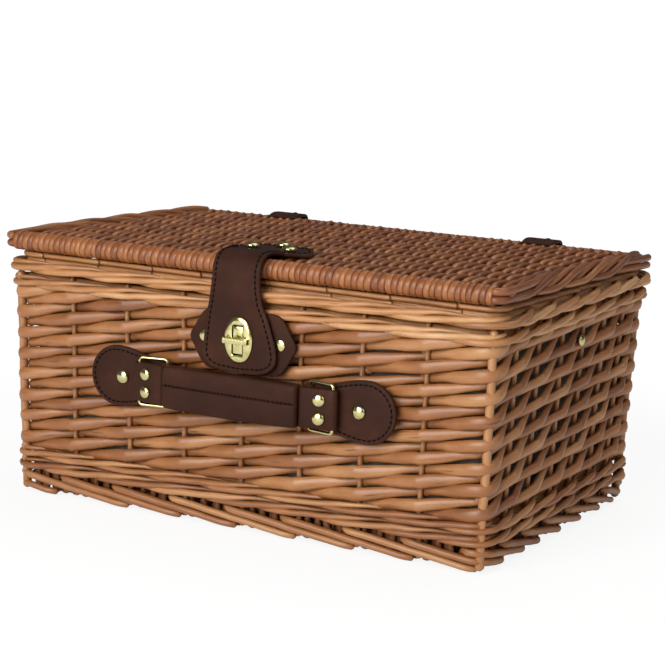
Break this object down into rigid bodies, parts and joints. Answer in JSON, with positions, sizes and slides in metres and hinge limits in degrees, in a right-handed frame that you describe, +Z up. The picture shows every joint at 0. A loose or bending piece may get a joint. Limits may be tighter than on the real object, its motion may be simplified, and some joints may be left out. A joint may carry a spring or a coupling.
{
  "type": "picnic hamper",
  "caption": "Rectangular willow picnic hamper with hinged woven lid, leather hasp strap over a brass turn lock, padded leather carrying handle on brass rings, fabric lining and lid stays.",
  "frame": {"origin": "middle of the hamper's outline seen from above, on the surface that it stands on", "axes": "+X to the hamper's left-to-right length, seen from the front; +Y from the lock and handle at the front towards the hinge straps at the back; +Z up"},
  "size_m": [0.4186, 0.3014, 0.2109],
  "materials": {
    "willow": "buff willow, satin, unvarnished",
    "lid_willow": "darker buff willow, semi-gloss",
    "leather": "dark brown leather with stitched edges, satin",
    "brass": "pale polished brass",
    "lining": "plain grey canvas"
  },
  "bodies": {
    "basket": {"front_wall": "willow", "back_wall": "willow", "left_wall": "willow", "right_wall": "willow", "front_left_corner": "willow", "front_right_corner": "willow", "back_left_corner": "willow", "back_right_corner": "willow", "foot_border": "willow", "bottom_wale": "willow", "top_wale": "willow", "rim_border": "willow", "base_panel": "willow", "lining": "lining", "lock_patch": "leather", "lock_patch_rivet_left": "brass", "lock_patch_rivet_right": "brass", "lock_base": "brass", "handle_tab_left": "leather", "handle_tab_rivet_left": "brass", "handle_tab_right": "leather", "handle_tab_rivet_right": "brass", "hinge_body_leaf_left": "leather", "hinge_body_rivet_left": "brass", "hinge_body_leaf_right": "leather", "hinge_body_rivet_right": "brass", "stay_left": "leather", "stay_right": "leather", "stay_stud_left": "brass", "stay_stud_right": "brass"},
    "lid": {"lid_front_rail": "lid_willow", "lid_back_rail": "lid_willow", "lid_weave": "lid_willow", "lid_left_border": "lid_willow", "lid_right_border": "lid_willow", "hasp_head": "leather", "hasp_head_rivet_left": "brass", "hasp_head_rivet_right": "brass", "hasp_head_rivet_back": "brass", "hinge_lid_leaf_left": "leather", "hinge_lid_rivet_left": "brass", "hinge_lid_leaf_right": "leather", "hinge_lid_rivet_right": "brass", "stay_lid_rivet_left": "brass", "stay_lid_rivet_right": "brass"},
    "hasp": {"hasp_strap": "leather", "hasp_plate": "brass"},
    "turn_button": {"turn_button": "brass"},
    "ring_left": {"ring_left": "brass"},
    "ring_right": {"ring_right": "brass"},
    "handle_end_left": {"handle_end_left": "leather", "handle_end_rivet_left_upper": "brass", "handle_end_rivet_left_lower": "brass"},
    "handle_end_right": {"handle_end_right": "leather", "handle_end_rivet_right_upper": "brass", "handle_end_rivet_right_lower": "brass"},
    "handle_grip": {"handle_grip": "leather"}
  },
  "joints": [
    {"name": "lid_hinge", "type": "hinge", "parent": "basket", "child": "lid", "pos_m": [0, 0.1482, 0.18881], "axis": [-1, 0, 0], "range_deg": [0, 105], "deforming": ["stay_left", "stay_right"]},
    {"name": "hasp_swing", "type": "hinge", "parent": "lid", "child": "hasp", "pos_m": [0.0045, -0.13988, 0.20684], "axis": [-1, 0, 0], "range_deg": [0, 120]},
    {"name": "turn_lock", "type": "hinge", "parent": "basket", "child": "turn_button", "pos_m": [0.0085, -0.14384, 0.147], "axis": [0, 1, 0], "range_deg": [0, 90]},
    {"name": "ring_left_swing", "type": "hinge", "parent": "basket", "child": "ring_left", "pos_m": [-0.056, -0.13584, 0.106], "axis": [0, 0, 1], "range_deg": [0, 79]},
    {"name": "end_left_fold", "type": "hinge", "parent": "ring_left", "child": "handle_end_left", "pos_m": [-0.0776, -0.14003, 0.106], "axis": [0, 0, 1], "range_deg": [-158, 0]},
    {"name": "grip_fold", "type": "hinge", "parent": "handle_end_left", "child": "handle_grip", "pos_m": [-0.056, -0.14423, 0.106], "axis": [0, 0, 1], "range_deg": [0, 79]},
    {"name": "ring_right_swing", "type": "hinge", "parent": "basket", "child": "ring_right", "pos_m": [0.065, -0.13584, 0.106], "axis": [0, 0, 1], "range_deg": [-79, 0]},
    {"name": "end_right_fold", "type": "hinge", "parent": "ring_right", "child": "handle_end_right", "pos_m": [0.0866, -0.14003, 0.106], "axis": [0, 0, 1], "range_deg": [0, 158]}
  ],
  "couplings": [
    {"joint": "end_left_fold", "follows": "ring_left_swing", "ratio": -2},
    {"joint": "grip_fold", "follows": "ring_left_swing", "ratio": 1},
    {"joint": "ring_right_swing", "follows": "ring_left_swing", "ratio": -1},
    {"joint": "end_right_fold", "follows": "ring_left_swing", "ratio": 2}
  ]
}
